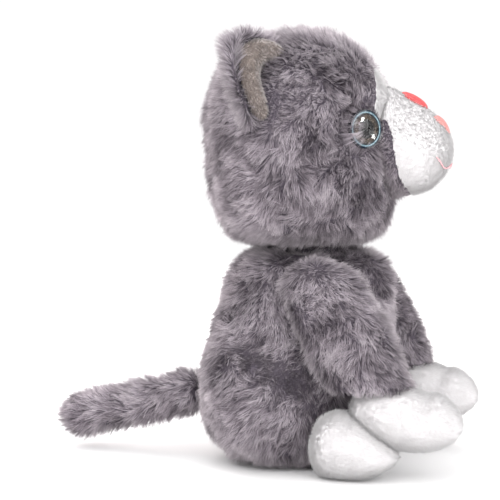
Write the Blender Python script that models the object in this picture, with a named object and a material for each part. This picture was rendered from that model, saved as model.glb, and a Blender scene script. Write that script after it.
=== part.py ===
"""A sitting plush kitten, built from the sewn covers, stuffing and trim that a soft-toy factory joins.

Metres, +Z up. The kitten faces -Y and is mirror symmetric about X = 0. The origin is on the flat base
that it sits on, under the middle of the body. "right" is the kitten's own right side, at -X.
"""

from math import cos, pi, radians, sin, sqrt

import bmesh
import bpy
from mathutils import Matrix, Vector

GAP = 0.0004            # free space between touching pieces
COVER = 0.0022          # thickness of the long-pile plush covers, backing and packed pile roots
SHORT_COVER = 0.0015    # thickness of the white short-pile plush
SIDES = 28              # segments around the large covers
SMALL_SIDES = 16        # segments around limbs
THREAD_SIDES = 6        # segments around a thread
SIGNS = {"left": 1, "right": -1}

# Torso: height, centre along Y, half width, half depth. The front is narrower than the back.
TORSO_SECTIONS = [
    (0.000, -0.003, 0.027, 0.022),
    (0.002, -0.002, 0.036, 0.030),
    (0.007, 0.000, 0.045, 0.038),
    (0.016, 0.002, 0.052, 0.045),
    (0.030, 0.004, 0.056, 0.048),
    (0.050, 0.004, 0.053, 0.048),
    (0.066, 0.002, 0.047, 0.046),
    (0.082, -0.002, 0.042, 0.044),
    (0.096, -0.004, 0.0375, 0.043),
    (0.105, -0.004, 0.034, 0.039),
    (0.110, -0.003, 0.029, 0.032),
]
TORSO_TAPER = 0.34
PELLET_BAG_TOP = 0.028

# Head: the same four values.
HEAD_SECTIONS = [
    (0.1185, 0.000, 0.031, 0.031),
    (0.121, 0.000, 0.044, 0.037),
    (0.128, 0.000, 0.056, 0.043),
    (0.140, 0.000, 0.064, 0.047),
    (0.156, 0.000, 0.067, 0.049),
    (0.172, 0.001, 0.067, 0.049),
    (0.188, 0.002, 0.064, 0.048),
    (0.202, 0.002, 0.057, 0.045),
    (0.213, 0.002, 0.047, 0.038),
    (0.2205, 0.001, 0.034, 0.028),
    (0.2238, 0.000, 0.021, 0.018),
    (0.2268, 0.000, 0.008, 0.007),
]
NECK_PIVOT = Vector((0.0, 0.0, 0.114))
NECK_RADIUS = 0.0245
NECK_THREAD_RADIUS = 0.0007
NECK_THREAD_GAP = 0.0012

# Muzzle and blaze: place along Y, lowest and highest point, half width.
MUZZLE_SECTIONS = [
    (-0.036, 0.146, 0.2045, 0.028),
    (-0.050, 0.142, 0.1965, 0.031),
    (-0.060, 0.142, 0.1905, 0.0295),
    (-0.068, 0.1455, 0.1850, 0.026),
    (-0.0735, 0.1515, 0.1795, 0.020),
    (-0.0770, 0.1580, 0.1730, 0.012),
]
MUZZLE_TIP = (-0.0787, 0.1655)
MUZZLE_NARROWING = 0.45  # how much narrower the muzzle is at its crest
NOSE_PLACE = Vector((0.0, -0.0740, 0.1790))
NOSE_HALF = Vector((0.0085, 0.0050, 0.0065))
NOSE_SLOPE = radians(-31)
PATCH_PLACE = Vector((0.0, -0.0588, 0.1915))
PATCH_HALF = Vector((0.0066, 0.0085, 0.0032))
PATCH_SLOPE = radians(28)
MOUTH_THREAD_RADIUS = 0.0006
MOUTH_HALF_WIDTH = 0.0150
MOUTH_HEIGHT = 0.1590
MOUTH_DIP = 0.0032
MOUTH_STANDOFF = 0.0014   # from the muzzle to the middle of the mouth thread

EYE_CENTRE = Vector((0.0435, -0.0361, 0.1750))
EYE_TURN = radians(45)
EYE_LIFT = 0.0024         # the cup stands this far off the cover, on the pile
EYE_RADIUS = 0.010
EYE_DOME = 0.0055
EYE_CUP = 0.0022
EYE_SHANK_RADIUS = 0.0025
EYE_SHANK_LENGTH = 0.0145
WASHER_RADIUS = 0.0080
WASHER_THICKNESS = 0.0016
WASHER_DEPTH = 0.0086

EAR_ROOT = Vector((0.052, 0.014, 0.197))
EAR_HEIGHT = 0.0265
EAR_HALF_WIDTH = 0.0235
EAR_TILT = radians(42)
EAR_TURN = radians(14)
EAR_CUP = 0.0055
EAR_SINK = 0.012         # how far the root reaches down towards the head before it is fitted
EAR_LEAN = 0.009
EAR_EDGE = 0.0022        # thickness of the padded back at its edge
EAR_PADDING = 0.0050     # extra thickness in the middle of the back
LINING_RIM = 0.0060      # thickness of the lining's padded roll
LINING_DIP = 0.0030      # how much thinner the lining is in the middle

# Arm: centre along Y, height, half width, half depth, square to the sleeve.
ARM_X = 0.0512
ARM_SECTIONS = [
    (-0.016, 0.108, 0.006, 0.009),
    (-0.017, 0.104, 0.011, 0.016),
    (-0.020, 0.094, 0.0145, 0.021),
    (-0.027, 0.078, 0.016, 0.0225),
    (-0.036, 0.060, 0.0165, 0.022),
    (-0.044, 0.044, 0.0155, 0.020),
]
SHOULDER = Vector((ARM_X, -0.019, 0.096))
PAW_CENTRE = Vector((ARM_X - 0.001, -0.0605, 0.0315))
PAW_HALF = Vector((0.0175, 0.0285, 0.0160))
PAW_SLOPE = radians(8)
WRIST_SLOPE = radians(4)

# Hind foot: place along Y, lowest and highest point, half width.
FOOT_X = 0.0545
FOOT_SECTIONS = [
    (-0.016, 0.005, 0.0260, 0.0110),
    (-0.020, 0.001, 0.0315, 0.0155),
    (-0.028, 0.000, 0.0340, 0.0180),
    (-0.037, 0.000, 0.0310, 0.0185),
    (-0.046, 0.003, 0.0240, 0.0175),
    (-0.054, 0.0075, 0.0180, 0.0135),
]

TAIL_ROOT = Vector((0.0, 0.0645, 0.033))
TAIL_END = Vector((0.0, 0.1265, 0.0185))
TAIL_RADIUS = 0.0100
TAIL_COVER = 0.0018


def material(name, colour, roughness, metallic=0.0):
    made = bpy.data.materials.new(name)
    made.use_nodes = True
    shader = made.node_tree.nodes["Principled BSDF"]
    shader.inputs["Base Color"].default_value = (*colour, 1.0)
    shader.inputs["Roughness"].default_value = roughness
    shader.inputs["Metallic"].default_value = metallic
    return made


def add_object(name, mesh_data, finish, origin=Vector()):
    """A finished mesh as a named object whose origin is at the point given."""
    mesh = bpy.data.meshes.new(name)
    bmesh.ops.translate(mesh_data, verts=mesh_data.verts, vec=-origin)
    bmesh.ops.recalc_face_normals(mesh_data, faces=mesh_data.faces)
    mesh_data.to_mesh(mesh)
    mesh_data.free()
    mesh.shade_smooth()
    mesh.materials.append(finish)
    made = bpy.data.objects.new(name, mesh)
    made.location = origin
    bpy.context.collection.objects.link(made)
    return made


def loft(rings, start=None, end=None):
    """A closed skin through rings of points. Each end closes in a point or, where none is given, flat."""
    skin = bmesh.new()
    rows = [[skin.verts.new(point) for point in ring] for ring in rings]
    count = len(rows[0])
    for low, high in zip(rows, rows[1:]):
        for i in range(count):
            j = (i + 1) % count
            skin.faces.new((low[i], low[j], high[j], high[i]))
    for row, pole in ((rows[0], start), (rows[-1], end)):
        if pole is None:
            skin.faces.new(row)
            continue
        centre = skin.verts.new(pole)
        for i in range(count):
            skin.faces.new((row[i], row[(i + 1) % count], centre))
    return skin


def level_ring(height, centre_y, half_width, half_depth, taper=0.0, inset=0.0, count=SIDES):
    """An egg-shaped ring at one height, narrower towards -Y by the taper."""
    points = []
    for i in range(count):
        turn = 2 * pi * i / count
        width = (half_width - inset) * cos(turn) * (1 + taper * sin(turn))
        points.append(Vector((width, centre_y + (half_depth - inset) * sin(turn), height)))
    return points


def upright_ring(place_y, low, high, half_width, inset=0.0, count=SMALL_SIDES, narrow_top=0.0):
    """A ring in a plane of constant Y, narrower at its top by narrow_top."""
    points = []
    middle = (low + high) / 2
    half_height = (high - low) / 2 - inset
    for i in range(count):
        turn = 2 * pi * i / count
        width = (half_width - inset) * cos(turn) * (1 - narrow_top * max(0.0, sin(turn)))
        points.append(Vector((width, place_y, middle + half_height * sin(turn))))
    return points


def capsule_rings(start, end, radius, count=SMALL_SIDES, steps=4):
    """Rings of a rod with two round ends, along the line from start to end."""
    axis = (end - start).normalized()
    side = Vector((1, 0, 0))
    up = axis.cross(side).normalized()
    places = []
    for i in range(1, steps + 1):
        angle = pi / 2 * i / steps
        places.append((start - axis * radius * cos(angle), radius * sin(angle)))
    for i in range(steps, 0, -1):
        angle = pi / 2 * i / steps
        places.append((end + axis * radius * cos(angle), radius * sin(angle)))
    rings = []
    for centre, size in places:
        turns = [2 * pi * i / count for i in range(count)]
        rings.append([centre + side * size * cos(turn) + up * size * sin(turn) for turn in turns])
    return rings


def cut(target, cutter):
    """Takes the cutter's space out of the target with a Boolean, and hides the cutter."""
    cutter.hide_render = True
    cutter.display_type = "WIRE"
    boolean = target.modifiers.new("cut_" + cutter.name, "BOOLEAN")
    boolean.operation = "DIFFERENCE"
    boolean.object = cutter


def ellipsoid(half, turn, place, segments=24, rings=14):
    made = bmesh.new()
    bmesh.ops.create_uvsphere(made, u_segments=segments, v_segments=rings, radius=1.0)
    bmesh.ops.scale(made, vec=half, verts=made.verts)
    bmesh.ops.transform(made, matrix=Matrix.Translation(place) @ turn, verts=made.verts)
    return made


def cylinder(radius, start, end, count=20):
    """A round rod from one point to another."""
    made = bmesh.new()
    axis = end - start
    placed = Matrix.Translation((start + end) / 2) @ axis.to_track_quat("Z", "Y").to_matrix().to_4x4()
    bmesh.ops.create_cone(
        made, cap_ends=True, segments=count, radius1=radius, radius2=radius, depth=axis.length, matrix=placed
    )
    return made


def mirrored(point, sign):
    return Vector((point.x * sign, point.y, point.z))


def torso_rings(inset, low=None, high=None):
    """The torso's rings set in by a distance, kept between two heights."""
    rings = []
    for height, centre_y, half_width, half_depth in TORSO_SECTIONS:
        if low is not None and height < low - 1e-6:
            continue
        if high is not None and height > high + 1e-6:
            continue
        rings.append(level_ring(height, centre_y, half_width, half_depth, TORSO_TAPER, inset))
    return rings


def build_torso(plush, stuffing, pellets):
    """The pear-shaped body cover, open at the neck, with a bag of pellets low down and fibre above it."""
    outer = torso_rings(0.0)
    inner = torso_rings(COVER, low=0.004)
    floor_height = COVER
    first = TORSO_SECTIONS[0]
    inner.insert(0, level_ring(floor_height, first[1], first[2], first[3], TORSO_TAPER, COVER))
    rings = outer + inner[::-1]
    add_object(
        "body_cover",
        loft(rings, Vector((0, first[1], 0)), Vector((0, first[1], floor_height))),
        plush,
    )
    inset = COVER + 2 * GAP
    bag = [level_ring(floor_height + GAP, first[1], first[2], first[3], TORSO_TAPER, inset + 0.001)]
    bag += torso_rings(inset, low=0.004, high=0.020)
    bag.append(level_ring(PELLET_BAG_TOP, 0.004, 0.050, 0.042, TORSO_TAPER, inset))
    add_object("pellet_bag", loft(bag), pellets)
    fibre = [level_ring(PELLET_BAG_TOP + GAP, 0.004, 0.050, 0.042, TORSO_TAPER, inset)]
    fibre += torso_rings(inset, low=0.030, high=0.105)
    filling = add_object("body_stuffing", loft(fibre), stuffing)
    cut(filling, add_object("neck_room_body", neck_ball(NECK_RADIUS + 2 * GAP), stuffing))


def neck_ball(radius):
    made = bmesh.new()
    bmesh.ops.create_uvsphere(made, u_segments=20, v_segments=10, radius=radius)
    bmesh.ops.translate(made, verts=made.verts, vec=NECK_PIVOT)
    return made


def build_neck(stuffing, thread):
    """The ball of stuffing that carries the head, and the drawn-up thread around the neck seam."""
    add_object("neck_stuffing", neck_ball(NECK_RADIUS), stuffing, NECK_PIVOT)
    ring = bmesh.new()
    rows = []
    middle, thick = NECK_RADIUS + NECK_THREAD_GAP, NECK_THREAD_RADIUS
    for i in range(SIDES):
        turn = 2 * pi * i / SIDES
        out = Vector((cos(turn), sin(turn), 0))
        row = []
        for k in range(THREAD_SIDES):
            lean = 2 * pi * k / THREAD_SIDES
            place = NECK_PIVOT + out * (middle + thick * cos(lean)) + Vector((0, 0, thick * sin(lean)))
            row.append(ring.verts.new(place))
        rows.append(row)
    for i in range(SIDES):
        for k in range(THREAD_SIDES):
            near, far = rows[i], rows[(i + 1) % SIDES]
            j = (k + 1) % THREAD_SIDES
            ring.faces.new((near[k], far[k], far[j], near[j]))
    add_object("neck_seam_thread", ring, thread, NECK_PIVOT)


def head_rings(inset):
    return [level_ring(h, y, w, d, 0.0, inset) for h, y, w, d in HEAD_SECTIONS]


def head_solid(outset):
    """The head's outer shape made larger all round, used to fit other pieces to it."""
    rings = head_rings(-outset)
    top = HEAD_SECTIONS[-1]
    return loft(rings, Vector((0, 0, HEAD_SECTIONS[0][0])), Vector((0, top[1], top[0] + outset)))


def build_head(plush, stuffing):
    """The head cover, open at the neck, and the fibre in it, with room for the eyes' posts and washers."""
    outer = head_rings(0.0)
    inner = [level_ring(h, y, w, d, 0.0, COVER) for h, y, w, d in HEAD_SECTIONS[:-1]]
    top = HEAD_SECTIONS[-1]
    inner_top = Vector((0, top[1], top[0] - COVER))
    cover = add_object(
        "head_cover",
        loft(inner[::-1] + outer, inner_top, Vector((0, top[1], top[0] + 0.0004))),
        plush,
        NECK_PIVOT,
    )
    inset = COVER + 2 * GAP
    fill = [level_ring(h, y, w, d, 0.0, inset) for h, y, w, d in HEAD_SECTIONS[2:-1]]
    filling = add_object("head_stuffing", loft(fill), stuffing, NECK_PIVOT)
    cut(filling, add_object("neck_room_head", neck_ball(NECK_RADIUS + 2 * GAP), stuffing))
    for side, sign in SIGNS.items():
        centre, out = eye_frame(sign)
        hole = cylinder(EYE_SHANK_RADIUS + GAP, centre - out * 0.02, centre + out * 0.01)
        cut(cover, add_object("eye_hole_" + side, hole, plush))
        deepest = centre - out * (EYE_SHANK_LENGTH + 0.001)
        room = cylinder(WASHER_RADIUS + 0.001, deepest, centre + out * 0.01)
        cut(filling, add_object("washer_room_" + side, room, stuffing))


def eye_frame(sign):
    """The middle of an eye's flat back, and the way it looks."""
    out = Vector((sin(EYE_TURN) * sign, -cos(EYE_TURN), 0.0))
    return mirrored(EYE_CENTRE, sign) + out * EYE_LIFT, out


def turned(profile, centre, out, count=20):
    """A turned solid from (radius, distance) pairs along the axis, back to front."""
    across = out.cross(Vector((0, 0, 1))).normalized()
    up = across.cross(out).normalized()
    rings = []
    for radius, reach in profile:
        ring = []
        for i in range(count):
            turn = 2 * pi * i / count
            ring.append(centre + out * reach + across * radius * cos(turn) + up * radius * sin(turn))
        rings.append(ring)
    return rings


def build_eye(side, sign, black, print_finish, clear, nylon):
    """A moulded safety eye: black cup and post, printed iris disc, clear dome, and the washer inside."""
    centre, out = eye_frame(sign)
    cup = [
        (EYE_SHANK_RADIUS, -EYE_SHANK_LENGTH),
        (EYE_SHANK_RADIUS, 0.0),
        (EYE_RADIUS - 0.0008, 0.0),
        (EYE_RADIUS, EYE_CUP * 0.4),
        (EYE_RADIUS, EYE_CUP),
    ]
    add_object("eye_cup_" + side, loft(turned(cup, centre, out)), black, NECK_PIVOT)
    disc_back = EYE_CUP + 0.0003
    disc_front = disc_back + 0.0006
    disc = [(EYE_RADIUS - 0.0008, disc_back), (EYE_RADIUS - 0.0008, disc_front)]
    add_object("eye_iris_disc_" + side, loft(turned(disc, centre, out)), print_finish, NECK_PIVOT)
    dome_back = disc_front + 0.0003
    dome = [(EYE_RADIUS, dome_back)]
    for i in range(1, 6):
        lean = pi / 2 * i / 6
        dome.append((EYE_RADIUS * cos(lean), dome_back + EYE_DOME * sin(lean)))
    apex = centre + out * (dome_back + EYE_DOME)
    dome_skin = loft(turned(dome, centre, out), centre + out * dome_back, apex)
    add_object("eye_dome_" + side, dome_skin, clear, NECK_PIVOT)
    bore = EYE_SHANK_RADIUS + 0.0003
    washer = [
        (bore, -WASHER_DEPTH - WASHER_THICKNESS),
        (WASHER_RADIUS, -WASHER_DEPTH - WASHER_THICKNESS),
        (WASHER_RADIUS, -WASHER_DEPTH),
        (bore, -WASHER_DEPTH),
    ]
    rings = turned(washer, centre, out)
    ring = bmesh.new()
    rows = [[ring.verts.new(point) for point in row] for row in rings]
    count = len(rows[0])
    for k in range(4):
        low, high = rows[k], rows[(k + 1) % 4]
        for i in range(count):
            j = (i + 1) % count
            ring.faces.new((low[i], low[j], high[j], high[i]))
    add_object("eye_washer_" + side, ring, nylon, NECK_PIVOT)


def muzzle_rings(inset):
    rings = []
    for place, low, high, half_width in MUZZLE_SECTIONS:
        ring = upright_ring(place, low, high, half_width, inset=inset, count=24, narrow_top=MUZZLE_NARROWING)
        rings.append(ring)
    return rings


def build_face(white, stuffing, coral, red):
    """The white short-pile muzzle with its stuffing, the stitched nose and the bridge patch."""
    outer = muzzle_rings(0.0)
    inner = muzzle_rings(SHORT_COVER)
    tip_y, tip_z = MUZZLE_TIP
    tip = Vector((0, tip_y, tip_z))
    back = Vector((0, SHORT_COVER * 1.2, 0))
    panel = add_object("face_panel", loft(inner[::-1] + outer, tip + back, tip), white, NECK_PIVOT)
    cut(panel, add_object("head_fit_panel", head_solid(GAP), white))
    core = add_object(
        "muzzle_stuffing",
        loft(muzzle_rings(SHORT_COVER + GAP), None, tip + back * 1.8),
        stuffing,
        NECK_PIVOT,
    )
    cut(core, add_object("head_fit_core", head_solid(2 * GAP), stuffing))

    nose = add_object(
        "nose_embroidery",
        ellipsoid(NOSE_HALF, Matrix.Rotation(NOSE_SLOPE, 4, "X"), NOSE_PLACE, 16, 10),
        coral,
        NECK_PIVOT,
    )
    patch = add_object(
        "bridge_patch",
        ellipsoid(PATCH_HALF, Matrix.Rotation(PATCH_SLOPE, 4, "X"), PATCH_PLACE, 16, 10),
        red,
        NECK_PIVOT,
    )
    for trim, name in ((nose, "nose_fit"), (patch, "patch_fit")):
        solid = loft(muzzle_rings(-GAP), None, tip - Vector((0, GAP, 0)))
        cut(trim, add_object(name, solid, white))


def build_mouth(thread):
    """One stitched line each side of the muzzle, running out and down from under the nose."""
    for side, sign in SIGNS.items():
        curve = bpy.data.curves.new("mouth_thread_" + side, "CURVE")
        curve.dimensions = "3D"
        curve.bevel_depth = MOUTH_THREAD_RADIUS
        curve.bevel_resolution = 1
        curve.use_fill_caps = True
        spline = curve.splines.new("POLY")
        route = []
        for i in range(9):
            along = i / 8
            half = 0.0010 + MOUTH_HALF_WIDTH * along
            height = MOUTH_HEIGHT - MOUTH_DIP * sin(pi * along) + MOUTH_DIP * along * along
            route.append(Vector((half * sign, muzzle_front(half, height) - MOUTH_STANDOFF, height)))
        spline.points.add(len(route) - 1)
        for point, place in zip(spline.points, route):
            point.co = (*(place - NECK_PIVOT), 1.0)
        curve.materials.append(thread)
        made = bpy.data.objects.new("mouth_thread_" + side, curve)
        made.location = NECK_PIVOT
        bpy.context.collection.objects.link(made)


def muzzle_front(half, height):
    """The Y of the muzzle's front surface at a half width and height, read from its sections."""
    tip_y, tip_z = MUZZLE_TIP
    shares = []
    for place, low, high, width in MUZZLE_SECTIONS:
        up = (height - (low + high) / 2) / ((high - low) / 2)
        narrow = 1 - MUZZLE_NARROWING * max(0.0, up)
        across = half / (width * narrow)
        shares.append((place, sqrt(up * up + across * across)))
    shares.append((tip_y, 0.0))
    for (near, a), (far, b) in zip(shares, shares[1:]):
        if (a - 1.0) * (b - 1.0) <= 0:
            return near + (far - near) * (1.0 - a) / (b - a)
    return tip_y


def build_ear(side, sign, plush, lining):
    """A cupped round ear: furry back with its padding, and the short-pile lining inside the cup."""
    up = Vector((sin(EAR_TILT) * sign, 0.0, cos(EAR_TILT)))
    face = Vector((sin(EAR_TURN) * sign, -cos(EAR_TURN), 0.0))
    face = (face - up * face.dot(up)).normalized()
    across = up.cross(face).normalized()
    root = mirrored(EAR_ROOT, sign)

    def point(u, v, forward, rim):
        """u runs across the ear from -1 to 1, v from root to tip, and forward is the distance in front."""
        width = EAR_HALF_WIDTH * rim * sqrt(max(0.0, 1 - max(0.0, v) ** 2.3))
        low = -EAR_SINK * (1 - max(0.0, v)) if v < 0.02 else 0.0
        rise = max(0.0, v) * rim
        cup = EAR_CUP * (u * rim) ** 2 * (1 - 0.35 * rise)
        lean = -EAR_LEAN * rise
        place = root + across * width * u + up * (EAR_HEIGHT * rim * v + low)
        return place + face * (cup + lean + forward)

    def leaf(back, front, rim):
        """A closed leaf between two depths, as rings around its long axis."""
        columns = 8
        heights = [0.0, 0.01, 0.2, 0.42, 0.62, 0.8, 0.92, 0.98]
        rings = []
        for v in heights:
            shares = [-1 + 2 * i / columns for i in range(columns + 1)]
            ring = [point(u, v, front(v, u), rim) for u in shares]
            ring += [point(u, v, back(v, u), rim) for u in shares[::-1]]
            rings.append(ring)
        tip = point(0.0, 1.0, (front(1.0, 0.0) + back(1.0, 0.0)) / 2, rim)
        return loft(rings, None, tip)

    def plump(v, u):
        return EAR_EDGE + EAR_PADDING * (1 - u * u) * (1 - 0.5 * v)

    def back_face(v, u):
        return -plump(v, u)

    def middle_face(v, u):
        return 0.0

    def lining_back(v, u):
        return GAP

    def lining_front(v, u):
        spread = min(1.0, u * u + v * v)
        return GAP + LINING_RIM * (1.25 - spread) ** 0.3 - LINING_DIP * (1 - spread)

    back = add_object("ear_back_" + side, leaf(back_face, middle_face, 1.0), plush, NECK_PIVOT)
    front = add_object("ear_lining_" + side, leaf(lining_back, lining_front, 0.9), lining, NECK_PIVOT)
    for piece, name in ((back, "ear_fit_back_"), (front, "ear_fit_lining_")):
        cut(piece, add_object(name + side, head_solid(GAP), plush))


def build_arm(side, sign, plush, white, stuffing):
    """The grey sleeve sewn at the shoulder, and the white front paw sewn into its lower end."""
    pivot = mirrored(SHOULDER, sign)
    rings = []
    lowest = len(ARM_SECTIONS) - 1
    for k, (y, z, half_width, half_depth) in enumerate(ARM_SECTIONS):
        slope = WRIST_SLOPE * k / lowest
        ring = []
        for i in range(SMALL_SIDES):
            turn = 2 * pi * i / SMALL_SIDES
            out = half_depth * sin(turn)
            width = ARM_X * sign + half_width * cos(turn)
            ring.append(Vector((width, y + out * cos(slope), z - out * sin(slope))))
        rings.append(ring)
    y, z = ARM_SECTIONS[0][:2]
    crown = Vector((ARM_X * sign, y, z + 0.0025))
    add_object("arm_sleeve_" + side, loft(rings, crown, None), plush, pivot)

    turn = Matrix.Rotation(PAW_SLOPE, 4, "X")
    paw = add_object(
        "front_paw_" + side,
        ellipsoid(PAW_HALF, turn, mirrored(PAW_CENTRE, sign), 20, 12),
        white,
        pivot,
    )
    y, z = ARM_SECTIONS[-1][:2]
    block = bmesh.new()
    bmesh.ops.create_cube(block, size=1.0)
    bmesh.ops.scale(block, vec=(0.06, 0.12, 0.06), verts=block.verts)
    lift = Matrix.Translation(Vector((ARM_X * sign, y, z - GAP))) @ Matrix.Rotation(-WRIST_SLOPE, 4, "X")
    bmesh.ops.transform(block, matrix=lift @ Matrix.Translation((0, 0, 0.03)), verts=block.verts)
    cut(paw, add_object("wrist_cut_" + side, block, white))


def build_foot(side, sign, white):
    """The white hind foot, sewn to the front of the haunch and pressed flat under the front paw."""
    rings = []
    for place, low, top, half_width in FOOT_SECTIONS:
        ring = []
        for i in range(SMALL_SIDES):
            turn = 2 * pi * i / SMALL_SIDES
            height = (low + top) / 2 + (top - low) / 2 * sin(turn)
            ring.append(Vector((FOOT_X * sign + half_width * cos(turn), place, height)))
        rings.append(ring)
    first, last = FOOT_SECTIONS[0], FOOT_SECTIONS[-1]
    heel = Vector((FOOT_X * sign, first[0] + 0.0025, (first[1] + first[2]) / 2))
    toe = Vector((FOOT_X * sign, last[0] - 0.004, (last[1] + last[2]) / 2))
    foot = add_object("hind_foot_" + side, loft(rings, heel, toe), white)
    rings = [level_ring(h, y, w, d, TORSO_TAPER, -GAP) for h, y, w, d in TORSO_SECTIONS[1:6]]
    base = TORSO_SECTIONS[0]
    rings.insert(0, level_ring(-0.002, base[1], base[2], base[3], TORSO_TAPER, -GAP))
    cut(foot, add_object("body_fit_" + side, loft(rings), white))
    paw_room = PAW_HALF + Vector((GAP, GAP, GAP))
    paw = ellipsoid(paw_room, Matrix.Rotation(PAW_SLOPE, 4, "X"), mirrored(PAW_CENTRE, sign), 20, 12)
    cut(foot, add_object("paw_fit_" + side, paw, white))


def build_tail(plush, stuffing):
    """The straight tail: a fur tube open at its root, around a roll of fibre."""
    outer = capsule_rings(TAIL_ROOT, TAIL_END, TAIL_RADIUS)
    axis = (TAIL_END - TAIL_ROOT).normalized()
    inner = capsule_rings(TAIL_ROOT, TAIL_END, TAIL_RADIUS - TAIL_COVER)
    open_from = 1
    rings = outer[open_from:] + inner[open_from:][::-1]
    skin = bmesh.new()
    rows = [[skin.verts.new(point) for point in ring] for ring in rings]
    count = len(rows[0])
    middle = len(outer) - open_from
    tips = (TAIL_END + axis * TAIL_RADIUS, TAIL_END + axis * (TAIL_RADIUS - TAIL_COVER))
    poles = [skin.verts.new(tip) for tip in tips]
    for k in range(len(rows)):
        low, high = rows[k], rows[(k + 1) % len(rows)]
        if k == middle - 1:
            for i in range(count):
                skin.faces.new((low[i], low[(i + 1) % count], poles[0]))
                skin.faces.new((high[i], high[(i + 1) % count], poles[1]))
            continue
        for i in range(count):
            j = (i + 1) % count
            skin.faces.new((low[i], low[j], high[j], high[i]))
    add_object("tail_cover", skin, plush, TAIL_ROOT)
    core = capsule_rings(TAIL_ROOT, TAIL_END, TAIL_RADIUS - TAIL_COVER - GAP)
    reach = TAIL_RADIUS - TAIL_COVER - GAP
    add_object(
        "tail_stuffing",
        loft(core, TAIL_ROOT - axis * reach, TAIL_END + axis * reach),
        stuffing,
        TAIL_ROOT,
    )


def main():
    for old in list(bpy.data.objects):
        bpy.data.objects.remove(old)
    plush = material("grey_long_pile_plush", (0.26, 0.22, 0.26), 0.95)
    white = material("white_short_pile_plush", (0.92, 0.90, 0.92), 0.9)
    lining = material("ear_velboa", (0.30, 0.25, 0.22), 0.9)
    stuffing = material("polyester_fibre", (0.90, 0.90, 0.88), 0.95)
    pellets = material("pellet_bag_cloth", (0.85, 0.84, 0.80), 0.85)
    black = material("black_eye_plastic", (0.01, 0.01, 0.02), 0.25)
    iris = material("printed_iris", (0.08, 0.10, 0.12), 0.35, 0.4)
    clear = material("clear_eye_plastic", (0.10, 0.14, 0.18), 0.04)
    nylon = material("white_nylon", (0.85, 0.85, 0.82), 0.5)
    coral = material("coral_nose_thread", (0.86, 0.33, 0.30), 0.55)
    red = material("red_patch_thread", (0.78, 0.09, 0.09), 0.6)
    thread = material("grey_seam_thread", (0.20, 0.17, 0.20), 0.7)
    pink = material("pink_mouth_thread", (0.86, 0.50, 0.52), 0.6)

    build_torso(plush, stuffing, pellets)
    build_neck(stuffing, thread)
    build_head(plush, stuffing)
    build_face(white, stuffing, coral, red)
    build_mouth(pink)
    for side, sign in SIGNS.items():
        build_eye(side, sign, black, iris, clear, nylon)
        build_ear(side, sign, plush, lining)
        build_arm(side, sign, plush, white, stuffing)
        build_foot(side, sign, white)
    build_tail(plush, stuffing)


main()
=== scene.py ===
from math import cos, pi, radians, sin, sqrt

import bmesh
import bpy
import numpy as np
from mathutils import Matrix, Vector
from mathutils.bvhtree import BVHTree


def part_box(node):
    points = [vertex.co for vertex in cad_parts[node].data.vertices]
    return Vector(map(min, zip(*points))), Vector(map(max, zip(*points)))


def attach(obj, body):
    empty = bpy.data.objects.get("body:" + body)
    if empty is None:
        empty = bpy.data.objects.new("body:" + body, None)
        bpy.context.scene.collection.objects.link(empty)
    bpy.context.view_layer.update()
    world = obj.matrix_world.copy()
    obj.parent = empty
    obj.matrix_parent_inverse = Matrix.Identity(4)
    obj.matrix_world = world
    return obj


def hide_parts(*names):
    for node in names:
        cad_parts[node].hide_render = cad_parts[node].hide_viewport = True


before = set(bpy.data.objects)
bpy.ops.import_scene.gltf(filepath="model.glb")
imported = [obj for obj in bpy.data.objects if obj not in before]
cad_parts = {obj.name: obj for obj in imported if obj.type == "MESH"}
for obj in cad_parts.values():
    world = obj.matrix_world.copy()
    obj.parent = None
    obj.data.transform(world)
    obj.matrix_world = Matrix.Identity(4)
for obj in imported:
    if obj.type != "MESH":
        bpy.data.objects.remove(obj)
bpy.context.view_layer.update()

# ---------------------------------------------------------------------------------------------
# The photographer's set: a pale table, a white room, soft boxes above and to the sides, and a
# camera on the kitten's right, a little in front of square and a little above.
VIEW_TURN = radians(283)
VIEW_RISE = radians(3)
VIEW_DISTANCE = 0.80
VIEW_LENS = 106.0
SENSOR = 36.0
LOOK_AT = Vector((0.0, 0.0305, 0.1113))
TABLE_SIZE = 6.0
ROOM_BRIGHTNESS = 1.06
WARM_WHITE = (1.0, 0.91, 0.90)

out = Vector((sin(VIEW_TURN) * cos(VIEW_RISE), -cos(VIEW_TURN) * cos(VIEW_RISE), sin(VIEW_RISE)))
camera_data = bpy.data.cameras.new("camera")
camera_data.lens = VIEW_LENS
camera_data.sensor_width = SENSOR
camera = bpy.data.objects.new("camera", camera_data)
camera.location = LOOK_AT + out * VIEW_DISTANCE
camera.rotation_euler = (-out).to_track_quat("-Z", "Y").to_euler()
bpy.context.collection.objects.link(camera)
bpy.context.scene.camera = camera
bpy.context.scene.view_settings.view_transform = "Standard"


class Value:
    """One output socket of a material's nodes, for writing sums and products of values."""

    def __init__(self, nodes, socket):
        self.nodes = nodes
        self.socket = socket

    def maths(self, operation, *others):
        return self.nodes.add("Math", {"operation": operation}, self, *others)

    def __add__(self, other):
        return self.maths("ADD", other)

    def __radd__(self, other):
        return self.maths("ADD", other)

    def __sub__(self, other):
        return self.maths("SUBTRACT", other)

    def __rsub__(self, other):
        return self.nodes.add("Math", {"operation": "SUBTRACT"}, other, self)

    def __mul__(self, other):
        return self.maths("MULTIPLY", other)

    def __rmul__(self, other):
        return self.maths("MULTIPLY", other)

    def __pow__(self, other):
        return self.maths("POWER", other)

    def step(self, low, high):
        """0 below low, 1 above high, and smooth between them."""
        limits = {"From Min": low, "From Max": high}
        return self.nodes.add("MapRange", {"interpolation_type": "SMOOTHSTEP"}, Value=self, **limits)


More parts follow.
